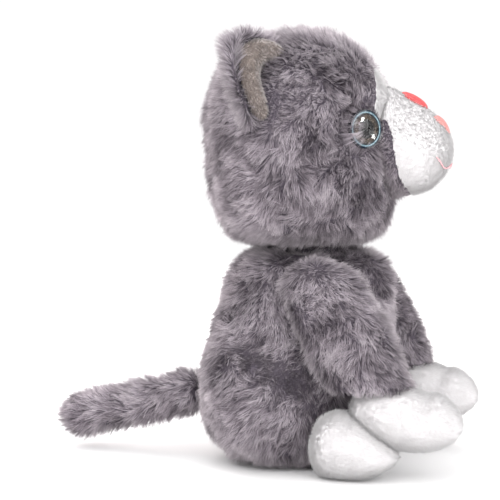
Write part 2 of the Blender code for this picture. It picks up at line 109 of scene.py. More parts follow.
class Finish:
    """A material with one Principled shader, and one way to add any other node to it."""

    def __init__(self, name, colour, roughness, **sockets):
        self.material = bpy.data.materials.new(name)
        self.material.use_nodes = True
        self.tree = self.material.node_tree
        self.shader = self.tree.nodes["Principled BSDF"]
        self.set(Roughness=roughness, **{key.replace("_", " "): value for key, value in sockets.items()})
        self.shader.inputs["Base Color"].default_value = (*colour, 1.0)

    def plug(self, socket, value):
        """Links a value to a socket, or sets a number or colour on it."""
        if isinstance(value, Value):
            self.tree.links.new(value.socket, socket)
            return
        channels = len(socket.default_value) if hasattr(socket.default_value, "__len__") else 0
        if channels and not hasattr(value, "__len__"):
            value = [value] * channels
        if channels == 4 and len(value) == 3:
            value = (*value, 1.0)
        socket.default_value = value

    def set(self, **sockets):
        for key, value in sockets.items():
            self.plug(self.shader.inputs[key], value)

    def add(self, kind, settings=None, *values, **named):
        """A new node of a kind, its settings made first, then its sockets by order or by name."""
        node = self.tree.nodes.new("ShaderNode" + kind)
        settings = dict(settings or {})
        wanted = settings.pop("output", 0)
        stops = settings.pop("stops", ())
        for key, value in settings.items():
            setattr(node, key, value)
        for k in range(2, len(stops)):
            node.color_ramp.elements.new(0.5)
        for k, (place, colour) in enumerate(stops):
            node.color_ramp.elements[k].position = place
            node.color_ramp.elements[k].color = (*colour, 1.0)
        for socket, value in zip(node.inputs, values):
            self.plug(socket, value)
        for key, value in named.items():
            self.plug(node.inputs[key], value)
        return Value(self, node.outputs[wanted])

    def mix(self, share, first, second, blend="MIX"):
        """Two colours mixed, or multiplied, by a share."""
        node = self.tree.nodes.new("ShaderNodeMix")
        node.data_type = "RGBA"
        node.blend_type = blend
        for key, value in ((0, share), (6, first), (7, second)):
            self.plug(node.inputs[key], value)
        return Value(self, node.outputs[2])

    def place(self):
        return self.add("TexCoord", {"output": "Object"})

    def parts(self, kind, value):
        """The channels of a colour or a vector, each as a value of its own."""
        node = self.add(kind, {}, value).socket.node
        return (Value(self, node.outputs[k]) for k in range(3))

    def noise(self, scale, detail=3.0, roughness=0.55, vector=None):
        sizes = {"Scale": scale, "Detail": detail, "Roughness": roughness}
        return self.add("TexNoise", {"output": "Fac"}, Vector=vector or self.place(), **sizes)

    def bump(self, height, strength, distance):
        self.set(Normal=self.add("Bump", {}, Strength=strength, Distance=distance, Height=height))


def area_light(name, place, target, size, power, colour=(1, 1, 1), highlight=False):
    """A soft box; one for a highlight shows only in what is glossy."""
    data = bpy.data.lights.new(name, "AREA")
    data.shape = "RECTANGLE"
    data.size, data.size_y = size
    data.energy = power
    data.color = colour
    made = bpy.data.objects.new(name, data)
    made.location = place
    made.visible_diffuse = not highlight
    made.rotation_euler = (Vector(target) - Vector(place)).to_track_quat("-Z", "Y").to_euler()
    bpy.context.collection.objects.link(made)


area_light("key_softbox", (-1.3, 0.5, 1.1), (0, 0, 0.12), (0.9, 0.9), 9.0)
area_light("top_softbox", (0.1, 0.1, 1.5), (0, 0, 0.1), (1.4, 1.4), 9.0)
area_light("back_softbox", (0.9, 0.9, 0.8), (0, 0, 0.12), (0.8, 0.8), 11.0, WARM_WHITE)
area_light("fill_softbox", (-1.45, -1.10, 0.7), (0, 0, 0.10), (1.6, 1.6), 19.0)
area_light("window_softbox", (-0.74, -0.50, 0.90), (-0.04, -0.04, 0.17), (0.36, 0.46), 14.0, highlight=True)

world = bpy.data.worlds.new("white_room")
world.use_nodes = True
backdrop = world.node_tree.nodes["Background"]
backdrop.inputs["Color"].default_value = (1.0, 0.99, 0.99, 1.0)
backdrop.inputs["Strength"].default_value = ROOM_BRIGHTNESS
bpy.context.scene.world = world
world.cycles_visibility.glossy = False

bpy.ops.object.select_all(action="DESELECT")
bpy.ops.mesh.primitive_plane_add(size=TABLE_SIZE, location=(0, 0, 0))
table = bpy.context.object
table.name = "table"
table_finish = Finish("pale_table", (0.94, 0.94, 0.94), 0.9, Specular_IOR_Level=0.0)
table.data.materials.append(table_finish.material)

# ---------------------------------------------------------------------------------------------
# Body cover: a pear-shaped cover cut from mauve-grey plush, its seams inside, turned and filled.
# The backing is the skin here, and the pile stands on it in brushed locks.
SKIN_CELL = 0.0035
PILE_LENGTH = 0.0082
PILE_ROOT_WIDTH = 0.00017
LOCK_ROOTS = 7
PILE_PER_M2 = 3.0e6
FLOOR_CLEAR = 0.0006
CLOTH_PRESSURE = 4.0
CLOTH_MASS = 0.3
CLOTH_STIFFNESS = 0.2
CLOTH_STEPS = 4
CLOTH_FRAMES = 20
CLOTH_CAP = 0.0012
SWIRL_SIZE = 0.034
RIPPLE_SIZE = 0.014
LENGTH_PATCH = 0.02
TILT_PATCH = 0.012
TONE_PATCH = 0.03
TONE_SPOT = 0.011
FOLD_START = (0.050, 0.022, 0.066)
FOLD_END = (0.050, -0.022, 0.037)
FOLD_DEPTH = 0.0024
FOLD_WIDTH = 0.0075
FOLD_SHADE = 0.55
FOLD_CUT = 0.45
THIGH = (0.052, 0.004, 0.034)
THIGH_SIZE = (0.03, 0.024, 0.015)
THIGH_BULGE = 0.0055
SHOULDER_PAD = (0.040, 0.004, 0.094)
SHOULDER_PAD_SIZE = 0.017
SHOULDER_BULGE = 0.0050
FLAT_HEIGHT = 0.012


def select_only(piece):
    bpy.ops.object.select_all(action="DESELECT")
    piece.hide_viewport = False
    piece.select_set(True)
    bpy.context.view_layer.objects.active = piece


def add_piece(name, mesh, finish, body, slot, *replaced):
    """A finished mesh as a piece that rides on a body and wears the finish it is given; the slot is not used."""
    made = bpy.data.objects.new(name, mesh)
    bpy.context.collection.objects.link(made)
    mesh.materials.clear()
    mesh.materials.append(finish)
    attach(made, body)
    if replaced:
        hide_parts(*replaced)
    return made


def apply_modifier(piece, kind, **settings):
    select_only(piece)
    modifier = piece.modifiers.new("step", kind)
    for key, value in settings.items():
        setattr(modifier, key, value)
    bpy.ops.object.modifier_apply(modifier=modifier.name)


def points_of(piece):
    """A mesh's points and the smooth normals there, in rows."""
    mesh = piece.data
    places = np.empty(len(mesh.vertices) * 3)
    facing = np.empty(len(mesh.vertices) * 3)
    mesh.vertices.foreach_get("co", places)
    mesh.vertex_normals.foreach_get("vector", facing)
    return places.reshape(-1, 3), facing.reshape(-1, 3)


def set_points(piece, places):
    piece.data.vertices.foreach_set("co", places.ravel())
    piece.data.update()


def swell(piece):
    """Lets the filling press a cover out as cloth does, and holds each point near where it began."""
    before = points_of(piece)[0]
    select_only(piece)
    modifier = piece.modifiers.new("filling", "CLOTH")
    cloth = modifier.settings
    cloth.quality = CLOTH_STEPS
    cloth.mass = CLOTH_MASS
    cloth.bending_stiffness = CLOTH_STIFFNESS
    cloth.use_pressure = True
    cloth.uniform_pressure_force = CLOTH_PRESSURE
    cloth.effector_weights.gravity = 0.0
    modifier.point_cache.frame_start = 1
    modifier.point_cache.frame_end = CLOTH_FRAMES
    for number in range(1, CLOTH_FRAMES + 1):
        bpy.context.scene.frame_set(number)
    bpy.ops.object.modifier_apply(modifier=modifier.name)
    moved = points_of(piece)[0] - before
    far = np.linalg.norm(moved, axis=1, keepdims=True)
    set_points(piece, before + moved * np.minimum(1, CLOTH_CAP / np.maximum(far, 1e-9)))
    bpy.context.scene.frame_set(1)


def soft_copy(name, node, finish, body, slot, cell=SKIN_CELL, hull=True, smooth=6, cloth=True):
    """A filled cloth skin in the space of a CAD solid: rounded all over, in even small cells."""
    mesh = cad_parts[node].data.copy()
    shape = bmesh.new()
    shape.from_mesh(mesh)
    bmesh.ops.remove_doubles(shape, verts=shape.verts, dist=1e-6)
    if hull:
        found = bmesh.ops.convex_hull(shape, input=shape.verts)
        inner = set(found["geom_interior"] + found["geom_unused"])
        spare = [part for part in inner if isinstance(part, bmesh.types.BMVert)]
        bmesh.ops.delete(shape, geom=spare, context="VERTS")
    shape.to_mesh(mesh)
    shape.free()
    piece = add_piece(name, mesh, finish, body, slot, node)
    apply_modifier(piece, "REMESH", mode="VOXEL", voxel_size=cell, use_smooth_shade=True)
    apply_modifier(piece, "SMOOTH", factor=0.5, iterations=smooth)
    if cloth:
        swell(piece)
        apply_modifier(piece, "SUBSURF", levels=1, render_levels=1)
    piece.data.shade_smooth()
    return piece


def waves(points, size, seed, channels=1, count=9):
    """Smooth random values from about -1 to 1, changing over about a size, in one column a channel."""
    draw = np.random.default_rng(seed)
    values = np.zeros((len(points), channels))
    for k in range(channels):
        ways = draw.normal(size=(count, 3))
        ways /= np.linalg.norm(ways, axis=1, keepdims=True)
        ways *= 2 * pi / size * draw.uniform(0.55, 1.5, (count, 1))
        rows = np.sin(points @ ways.T + draw.uniform(0, 2 * pi, count))
        values[:, k] = rows.sum(1) * sqrt(2 / count) * 0.7
    return values


def unit(rows):
    return rows / np.maximum(np.linalg.norm(rows, axis=1, keepdims=True), 1e-12)


def across(vectors, normals):
    """What is left of the vectors after what points along the normals is taken out."""
    return vectors - normals * (vectors * normals).sum(1, keepdims=True)


def scatter(skin, per_m2, draw, keep=None):
    """Random points all over a skin with its smooth normals there, without those that keep leaves out."""
    mesh = skin.data
    mesh.calc_loop_triangles()
    triangles = np.empty(len(mesh.loop_triangles) * 3, np.int32)
    mesh.loop_triangles.foreach_get("vertices", triangles)
    triangles = triangles.reshape(-1, 3)
    places, facing = points_of(skin)
    a, b, c = (places[triangles[:, k]] for k in range(3))
    areas = np.linalg.norm(np.cross(b - a, c - a), axis=1) / 2
    count = int(areas.sum() * per_m2)
    chosen = np.searchsorted(np.cumsum(areas) / areas.sum(), draw.random(count)).clip(0, len(areas) - 1)
    u, v = draw.random(count), draw.random(count)
    over = u + v > 1
    u[over], v[over] = 1 - u[over], 1 - v[over]
    shares = np.stack([1 - u - v, u, v], 1)[:, :, None]
    corners = triangles[chosen]
    points = (places[corners] * shares).sum(1)
    normals = unit((facing[corners] * shares).sum(1))
    if keep is not None:
        kept = keep(points, normals)
        points, normals = points[kept], normals[kept]
    return points, normals


def locks(points, size, seed):
    """Parts roots into small wavy clumps: each root's clump, and each clump's first root."""
    turned = points @ np.array(Matrix.Rotation(0.7, 3, Vector((1, 2, 3))))
    skewed = turned + waves(points, size * 5, seed, 3) * size
    cells = np.floor(skewed / size).astype(np.int64)
    keys = (cells[:, 0] * 4099 + cells[:, 1]) * 4099 + cells[:, 2]
    _, first, clump = np.unique(keys, return_index=True, return_inverse=True)
    return clump.ravel(), first


def hair_mesh(name, rings, tips, normals, shades):
    """Closed hairs, each with three points round its root and one at its tip, laid out apart for baking."""
    count = len(tips)
    corners = np.array([0, 1, 3, 1, 2, 3, 2, 0, 3, 2, 1, 0]) + np.arange(count)[:, None] * 4
    mesh = bpy.data.meshes.new(name)
    mesh.vertices.add(count * 4)
    mesh.vertices.foreach_set("co", np.concatenate([rings, tips[:, None]], 1).ravel())
    mesh.loops.add(count * 12)
    mesh.loops.foreach_set("vertex_index", corners.ravel().astype(np.int32))
    mesh.polygons.add(count * 4)
    mesh.polygons.foreach_set("loop_start", np.arange(0, count * 12, 3, dtype=np.int32))
    mesh.update(calc_edges=True)
    mesh.polygons.foreach_set("use_smooth", np.ones(count * 4, bool))
    tint = mesh.attributes.new("pile", "FLOAT_COLOR", "POINT")
    values = np.ones((count, 4, 4), np.float32)
    values[:, :, 0] = shades[:, None, 0]
    values[:, :3, 1] = 0.0
    values[:, :, 2] = shades[:, None, 1]
    tint.data.foreach_set("color", values.ravel())
    columns = int(np.ceil(sqrt(count)))
    row, column = np.divmod(np.arange(count), columns)
    flat_hair = np.array([(0.25, 0.12), (0.50, 0.12), (0.75, 0.12), (0.50, 0.88)])
    layout = (flat_hair + np.stack([column, row], 1)[:, None]) / columns
    flat = mesh.uv_layers.new(name="OFBake")
    flat.data.foreach_set("uv", layout.reshape(-1, 2)[corners.ravel()].astype(np.float32).ravel())
    mesh.normals_split_custom_set_from_vertices(normals.reshape(-1, 3))
    return mesh


def pile_mesh(name, skin, comb, keep, seed, per_m2=PILE_PER_M2, length=PILE_LENGTH, width=PILE_ROOT_WIDTH,
              lean=0.98, stray=0.60, lock=LOCK_ROOTS, gather=0.40, sink=0.0008, swirls=1.0,
              shorten=None, darken=None):
    """Pile on a skin: hairs that lie the comb's way, bend over, and draw together into locks at their tips.

    lean is how far they lie down, stray how much they differ, gather how far a lock draws together, sink how
    deep their roots are, and swirls how much the brushing changes from place to place.
    """
    draw = np.random.default_rng(seed)
    points, normals = scatter(skin, per_m2, draw, keep)
    count = len(points)
    if not count:
        raise ValueError(name + " has no roots")

    lie = unit(across(comb(points, normals), normals))
    swirl = unit(across(waves(points, SWIRL_SIZE, seed + 1, 3), normals)) * 0.75
    ripple = waves(points, RIPPLE_SIZE, seed + 2, 3) * 0.45
    lie = unit(across(lie + (swirl + ripple) * swirls, normals))
    uneven = 0.16 * swirls * waves(points, LENGTH_PATCH, seed + 3)[:, 0]
    reach = length * (1 + uneven + draw.normal(0, 0.09, count))
    if shorten is not None:
        reach = reach * shorten(points)
    brushed = 0.20 * swirls * waves(points, TILT_PATCH, seed + 4)[:, 0]
    tilt = lean + brushed + draw.normal(0, 0.10, count)

    clump, first = locks(points, sqrt(lock / per_m2), seed + 7)
    nearest, heads = first[clump], len(first)
    tilt = 0.45 * tilt + 0.55 * (tilt[nearest] + draw.normal(0, 0.17, heads)[clump])
    jitter = draw.normal(0, stray, (heads, 3))[clump] * 0.55 + draw.normal(0, stray, (count, 3)) * 0.35
    lie = unit(across(lie + jitter, normals))
    tilt = np.clip(tilt, 0.1, 1.4)[:, None]
    reach = reach[:, None]
    root = points - normals * sink
    middle = root + reach * (0.52 * (normals * np.cos(tilt * 0.55) + lie * np.sin(tilt * 0.55)))
    tip = middle + reach * (0.48 * (normals * np.cos(tilt * 1.35) + lie * np.sin(tilt * 1.35)))
    tip = tip + (tip[nearest] - tip) * (gather * draw.uniform(0.55, 1.2, count))[:, None]
    tip[:, 2] = np.maximum(tip[:, 2], FLOOR_CLEAR + 0.0004)
    root[:, 2] = np.maximum(root[:, 2], FLOOR_CLEAR)

    run = unit(tip - root)
    side = unit(np.cross(run, normals) + 1e-9)
    other = np.cross(run, side)
    rings, faces = [], []
    for i in range(3):
        turn = 2 * pi * i / 3 + pi / 2
        out_way = side * cos(turn) + other * sin(turn)
        rings.append(root + out_way * width)
        faces.append(unit(normals * 0.8 + (out_way * 0.35 + lie * 0.15) * swirls))
    faces.append(unit(normals * 0.9 + lie * 0.3 * swirls))

    patches = 0.20 * waves(points, TONE_PATCH, seed + 5)[:, 0] + 0.16 * waves(points, TONE_SPOT, seed + 6)[:, 0]
    tone = 0.5 + patches * swirls
    tone = tone + draw.normal(0, 0.21, heads)[clump] + draw.normal(0, 0.13, count)
    if darken is not None:
        tone = tone - darken(points)
    shades = np.stack([np.clip(tone, 0, 1), draw.random(count)], 1)
    return hair_mesh(name, np.stack(rings, 1), tip, np.stack(faces, 1), shades)


def pile_parts(finish):
    """A hair's own tone, how far along it a place is, and a chance value, from what its mesh holds."""
    return finish.parts("SeparateColor", finish.add("Attribute", {"attribute_name": "pile"}))


def grey_pile_finish():
    """Dyed mauve grey acrylic pile; the charcoal root is painted shade, the pale pink tip painted light through it.
    """
    finish = Finish("grey_pile", (0.26, 0.22, 0.26), 0.75, Sheen_Weight=0.5, Sheen_Roughness=0.4)
    finish.set(**{"Sheen Tint": (0.95, 0.88, 0.92), "Specular IOR Level": 0.10})
    tone, along, chance = pile_parts(finish)
    # Painted shade: the charcoal at the root stands in for the shade deep in the pile.
    charcoal = (0.038, 0.032, 0.039)
    dyed = [(0.0, (0.065, 0.055, 0.066)), (0.45, (0.23, 0.198, 0.226)), (1.0, (0.43, 0.385, 0.43))]
    # Painted light: the pale, slightly pink tip colours stand in for light shining through the tips.
    lit_tip_stops = [(0.0, (0.18, 0.157, 0.176)), (0.5, (0.50, 0.445, 0.49)), (1.0, (0.86, 0.79, 0.825))]
    body = finish.add("ValToRGB", {"stops": dyed}, tone)
    tips = finish.add("ValToRGB", {"stops": lit_tip_stops}, tone + (chance - 0.5) * 0.5)
    colour = finish.mix(along.step(0.0, 0.50), charcoal, body)
    finish.set(**{"Base Color": finish.mix((along ** 1.6).step(0.25, 1.0), colour, tips)})
    return finish.material


def grey_skin_finish():
    """The knitted backing with the roots of the pile packed on it, as it shows in the partings; part of its darkness
    is painted shade.
    """
    finish = Finish("grey_pile_roots", (0.07, 0.06, 0.075), 0.9, Specular_IOR_Level=0.1)
    streaks = finish.noise(900.0, 4.0, 0.7)
    patches = finish.noise(90.0, 2.0)
    # Partly painted shade: the near-black backing colours also stand in for the shade down among the roots.
    colour = finish.mix(streaks.step(0.3, 0.7), (0.040, 0.034, 0.044), (0.14, 0.12, 0.145))
    finish.set(**{"Base Color": finish.mix(patches.step(0.35, 0.75), colour, (0.10, 0.085, 0.105))})
    finish.bump(streaks, 0.6, 0.0008)
    return finish.material


GREY_PILE = grey_pile_finish()
GREY_SKIN = grey_skin_finish()


def combed(*way):
    """A comb that brushes all the pile one way."""
    return lambda points, normals: np.tile(np.array(way), (len(points), 1))


def torso_roots(points, normals):
    return (points[:, 2] > 0.003) | (normals[:, 2] > -0.6)


def distance_to_line(points, start, end):
    """How far points are from the straight piece between two places."""
    run = end - start
    share = np.clip((points - start) @ run / (run @ run), 0, 1)
    return np.linalg.norm(points - start - share[:, None] * run, axis=1)


def fold_body(skin):
    """Presses in the fold above each thigh, and fills the body out at the thigh and behind the shoulder."""
    for sign in (-1, 1):
        mirror = np.array((sign, 1, 1))
        places, facing = points_of(skin)
        fold = distance_to_line(places, np.array(FOLD_START) * mirror, np.array(FOLD_END) * mirror)
        thigh = np.linalg.norm((places - np.array(THIGH) * mirror) / np.array(THIGH_SIZE), axis=1)
        shoulder = np.linalg.norm((places - np.array(SHOULDER_PAD) * mirror) / SHOULDER_PAD_SIZE, axis=1)
        moved = -FOLD_DEPTH * np.exp(-(fold / FOLD_WIDTH) ** 2)
        moved += THIGH_BULGE * np.exp(-thigh ** 2) + SHOULDER_BULGE * np.exp(-shoulder ** 2)
        moved *= np.clip(places[:, 2] / FLAT_HEIGHT, 0, 1)
        set_points(skin, places + facing * moved[:, None])


def in_fold(points):
    """1 at the bottom of either fold, fading to 0 beside it."""
    mirrored = np.column_stack([np.abs(points[:, 0]), points[:, 1:]])
    distance = distance_to_line(mirrored, np.array(FOLD_START), np.array(FOLD_END))
    return np.exp(-(distance / FOLD_WIDTH) ** 2)


def fold_shade(points):
    return FOLD_SHADE * in_fold(points)


def body_length(points):
    return 1 - FOLD_CUT * in_fold(points)


body_skin = soft_copy("body_skin", "body_cover", GREY_SKIN, "torso", "grey_plush")
fold_body(body_skin)


def around(points):
    """The turn of each point about the upright middle line, from 0 to 1."""
    return (np.arctan2(points[:, 0], points[:, 1]) / (2 * pi)) % 1.0


def grow_panels(name, panels, skin, comb, body, keep, finish, slot, seed, **cut_of):
    """Pile on one skin, as one piece for each panel that the cover is cut from."""
    for k in range(panels):
        def within(points, normals, k=k):
            return keep(points, normals) & (np.floor(around(points) * panels).astype(int) == k)

        part = name if panels == 1 else f"{name}_{k + 1}"
        mesh = pile_mesh(part, skin, comb, within, seed + 100 * k, **cut_of)
        add_piece(part, mesh, finish, body, slot)


grow_panels("body_pile", 3, body_skin, combed(0.0, 0.25, -1.0), "torso", torso_roots, GREY_PILE, "grey_plush", 10,
            shorten=body_length, darken=fold_shade)

# ---------------------------------------------------------------------------------------------
# Hind feet: white short-pile plush, filled and sewn under the haunches, pressed flat by the paws.
WHITE_PILE_LENGTH = 0.0034
WHITE_PER_M2 = 4.0e6
WHITE_WIDTH = 0.00015
SMALL_CELL = 0.0025


def white_skin_finish():
    """White short-pile backing, with a faint lavender tint in its fine grain."""
    finish = Finish("white_plush_skin", (0.78, 0.76, 0.78), 0.85, Specular_IOR_Level=0.05)
    grain = finish.noise(1400.0, 3.0, 0.65)
    clouds = finish.noise(60.0, 2.0)
    colour = finish.mix(clouds.step(0.35, 0.7), (0.86, 0.84, 0.85), (0.90, 0.885, 0.89))
    finish.set(**{"Base Color": finish.mix(grain.step(0.3, 0.7) * 0.3, colour, (0.80, 0.775, 0.79))})
    finish.bump(grain, 0.25, 0.0003)
    return finish.material


def white_pile_finish():
    """White acrylic pile, a little shaded towards its root."""
    finish = Finish("white_pile", (0.80, 0.785, 0.80), 0.8, Sheen_Weight=0.2, Specular_IOR_Level=0.05)
    tone, along, _ = pile_parts(finish)
    tips = finish.mix(tone, (0.89, 0.87, 0.876), (0.94, 0.93, 0.933))
    finish.set(**{"Base Color": finish.mix(along.step(0.0, 0.7), (0.80, 0.77, 0.78), tips)})
    return finish.material


WHITE_SKIN = white_skin_finish()
WHITE_PILE = white_pile_finish()


def everywhere(points, normals):
    return points[:, 2] > 0.0012


SHORT = {
    "per_m2": WHITE_PER_M2, "length": WHITE_PILE_LENGTH, "width": WHITE_WIDTH,
    "lean": 0.85, "stray": 0.3, "lock": 4, "gather": 0.15, "sink": 0.0003, "swirls": 0.12,
}
forward = combed(0.0, -1.0, -0.3)
for side in ("left", "right"):
    white_cover = (WHITE_SKIN, "torso", "white_plush")
    foot = soft_copy("hind_foot_skin_" + side, "hind_foot_" + side, *white_cover, cell=SMALL_CELL, smooth=10)
    grow_panels("hind_foot_pile_" + side, 1, foot, forward, "torso", everywhere, WHITE_PILE, "white_plush", 31,
                **SHORT)

# ---------------------------------------------------------------------------------------------
# Tail: a straight tube of the grey plush, turned through its own end, filled and sewn on behind.
# Its pile is a little longer and paler than the body's.
TAIL_PILE_LENGTH = 0.0085
TAIL_PALER = 0.22


def all_over(points, normals):
    return np.ones(len(points), bool)


def tail_shade(points):
    return np.full(len(points), -TAIL_PALER)


tail_skin = soft_copy("tail_skin", "tail_cover", GREY_SKIN, "tail", "grey_plush", cell=SMALL_CELL, smooth=3)
grow_panels("tail_pile", 1, tail_skin, combed(0.0, 1.0, -0.1), "tail", all_over, GREY_PILE, "grey_plush", 41,
            length=TAIL_PILE_LENGTH, darken=tail_shade)

# ---------------------------------------------------------------------------------------------
# Arms: grey sleeves sewn flat at the shoulders, each closed by a white front paw with a toe crease.
PAW_CREASE_DEPTH = 0.0022
PAW_CREASE_WIDTH = 0.0050
WRIST_HEIGHT = 0.047
SHOULDER_SEAM = 0.118


def press_crease(skin, place, along, up, depth, width):
    """Presses a groove into a skin, across the way that along gives, on the side that faces up."""
    places, facing = points_of(skin)
    offset = (places - np.array(place)) @ np.array(along) / width
    share = np.clip(0.35 + facing @ np.array(up), 0, 1) * np.exp(-offset ** 2)
    set_points(skin, places - facing * (depth * share)[:, None])


def sleeve_roots(points, normals):
    return (normals[:, 2] > -0.85) | (points[:, 2] > 0.060)


def sleeve_length(points):
    """The pile is shorter at the wrist and over the shoulder seam."""
    over_wrist = np.clip((points[:, 2] - WRIST_HEIGHT) / 0.018, 0, 1)
    under_seam = np.clip((SHOULDER_SEAM - points[:, 2]) / 0.022, 0.3, 1)
    return 0.72 + 0.28 * over_wrist * under_seam


down_the_arm = combed(0.0, -0.5, -1.0)
for side in ("left", "right"):
    arm = "arm_" + side
    sleeve_skin = soft_copy("arm_sleeve_skin_" + side, "arm_sleeve_" + side, GREY_SKIN, arm, "grey_plush", smooth=4)
    grow_panels("arm_pile_" + side, 1, sleeve_skin, down_the_arm, arm, sleeve_roots, GREY_PILE, "grey_plush", 51,
                shorten=sleeve_length)
    white_cover = (WHITE_SKIN, arm, "white_plush")
    paw_skin = soft_copy("front_paw_skin_" + side, "front_paw_" + side, *white_cover, cell=SMALL_CELL)
    low, high = (Vector(corner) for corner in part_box("front_paw_" + side))
    crease = Vector(((low.x + high.x) / 2, low.y + (high.y - low.y) * 0.40, (low.z + high.z) / 2))
    along_paw = Vector((0, -0.95, -0.3))
    out_of_paw = Vector((0, -0.3, 0.95))
    press_crease(paw_skin, crease, along_paw, out_of_paw, PAW_CREASE_DEPTH, PAW_CREASE_WIDTH)
    grow_panels("front_paw_pile_" + side, 1, paw_skin, forward, arm, all_over, WHITE_PILE, "white_plush", 61,
                **SHORT)

# ---------------------------------------------------------------------------------------------
# Head cover: a round cover of the grey plush, its pile brushed back and down from the face. A
# white wedge is let into the forehead, drawn in between the brows, down to the face panel.
FACE_MIDDLE = Vector((0, -0.060, 0.176))
EYE_CLEARING = 0.0098
BLAZE_LOW = 0.1800
BLAZE_RISE = 0.0310
BLAZE_HALF_WIDTH = 0.0310
BLAZE_FOOT = 0.0230
BLAZE_SPREAD = 1.1
BLAZE_FRONT = -0.024
EAR_FRONT = Vector((0.062, 0.006, 0.190))
FACE_BACK = -0.024
PANEL_CLEAR = 0.0004
BRIDGE_HEIGHT = 0.1915
BRIDGE_BULGE = 0.0050
BROW_GROOVE = 0.0024
BROW_GROOVE_WIDTH = 0.0100
SEAM_HEIGHTS = (0.136, 0.1427, 0.1521, 0.1672, 0.1735, 0.1790, 0.1850, 0.1900, 0.2100)
SEAM_PLACES = (-0.062, -0.0575, -0.0535, -0.0515, -0.0502, -0.0475, -0.0435, -0.0400, -0.0340)
face_low, face_high = (Vector(corner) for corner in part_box("face_panel"))
eye_places = {}
VELBOA_CUT = {
    **SHORT,
    "length": 0.0019, "per_m2": 5.0e6, "width": 0.00016, "lock": 16, "gather": 0.6, "swirls": 0.7,
}
for side in ("left", "right"):
    low, high = (Vector(corner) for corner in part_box("eye_dome_" + side))
    eye_places[side] = (low + high) / 2


def eye_distance(points):
    return np.minimum(*(np.linalg.norm(points - np.array(place), axis=1) for place in eye_places.values()))


def beside_eye(points):
    """1 just behind an eye, fading to 0 in front of it and away from it."""
    behind = np.clip((points[:, 1] - eye_places["left"].y + 0.001) / 0.005, 0, 1)
    return behind * np.clip(1 - (eye_distance(points) - EYE_CLEARING) / 0.007, 0, 1)


def from_the_face(points, normals):
    """The pile runs back and down from the face, and tips over the eyes, where the cover is drawn in."""
    way = unit(points - np.array(FACE_MIDDLE))
    way[:, 2] -= 0.75
    way[:, 1] += 0.15
    share = beside_eye(points)[:, None]
    for place in eye_places.values():
        near = points[:, :1] * place.x > 0
        way = np.where(near, way * (1 - share) + unit(np.array(place) - points) * share * 2.0, way)
    return way


def face_share(points):
    """How far out a point is on the face panel, 1 at its seam."""
    middle = (face_low.z + face_high.z) / 2
    up = (points[:, 2] - middle) / ((face_high.z - face_low.z) / 2)
    side = np.abs(points[:, 0]) / (face_high.x * (1 - 0.45 * np.maximum(0, up)))
    share = np.sqrt(up ** 2 + side ** 2)
    share[points[:, 1] > -0.028] = 3.0
    return share


def blaze_half(points):
    """Half the width of the white wedge at each point's height."""
    above = points[:, 2] - BLAZE_LOW
    arch = BLAZE_HALF_WIDTH * np.sqrt(np.clip(1 - above / BLAZE_RISE, 0, 1))
    return np.minimum(arch, BLAZE_FOOT + BLAZE_SPREAD * above)


def in_blaze(points):
    """Inside the white wedge that runs up the forehead."""
    in_front = (points[:, 1] < BLAZE_FRONT) & (points[:, 2] > BLAZE_LOW)
    return (np.abs(points[:, 0]) < blaze_half(points)) & in_front


def behind_seam(points):
    """On the grey side of the curved seam between the cheek and the white face."""
    return points[:, 1] > np.interp(points[:, 2], SEAM_HEIGHTS, SEAM_PLACES)


def surface_of(piece):
    mesh = piece.data
    return BVHTree.FromPolygons([v.co for v in mesh.vertices], [p.vertices for p in mesh.polygons])


def under_the_face(points):
    """Where the head cover lies against or inside the face panel, so that no pile can stand on it."""
    covered = np.zeros(len(points), bool)
    for k in np.flatnonzero(points[:, 1] < FACE_BACK):
        place, normal = panel_surface.find_nearest(Vector(points[k]))[:2]
        covered[k] = (Vector(points[k]) - place).dot(normal) < PANEL_CLEAR
    return covered


panel_surface = surface_of(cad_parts["face_panel"])


def head_roots(points, normals):
    return (eye_distance(points) > EYE_CLEARING) & ~in_blaze(points) & ~under_the_face(points)


def head_length(points):
    """The pile is trimmed short in front of the eyes and next to the face seam, and left long behind them."""
    behind = np.clip((points[:, 1] - eye_places["left"].y + 0.002) / 0.006, 0, 1)
    by_eye = np.clip((eye_distance(points) - EYE_CLEARING) / 0.013, 0, 1)
    by_face = np.clip((face_share(points) - 1.0) / 0.45, 0, 1)
    beside = np.clip((np.abs(points[:, 0]) - blaze_half(points)) / 0.012, 0, 1)
    by_blaze = np.where((points[:, 1] < BLAZE_FRONT + 0.006) & (points[:, 2] > 0.186), beside, 1.0)
    mirrored = np.abs(points[:, 0])
    beside_ear = ((points[:, 1:] - np.array(EAR_FRONT.yz)) ** 2).sum(1)
    from_ear = np.sqrt((mirrored - EAR_FRONT.x) ** 2 + beside_ear)
    by_ear = np.clip(from_ear / 0.018, 0.25, 1)
    trimmed = np.maximum(behind * 0.8, np.minimum(by_eye, 0.35 + 0.65 * by_face))
    return (0.38 + 0.62 * trimmed) * (0.30 + 0.70 * by_blaze) * by_ear


def eye_patch_and_lit_crown(points):
    """The short pile between the eyes and the face is the darkest, and the crown is the palest, as painted rim light.
    """
    near = np.clip(1 - (eye_distance(points) - EYE_CLEARING) / 0.010, 0, 1)
    # Painted light: the crown is made paler as a painted rim light on top of the head.
    crown = np.clip((points[:, 2] - 0.190) / 0.022, 0, 1)
    return 0.40 * near * (points[:, 1] < eye_places["left"].y + 0.004) - 0.32 * crown


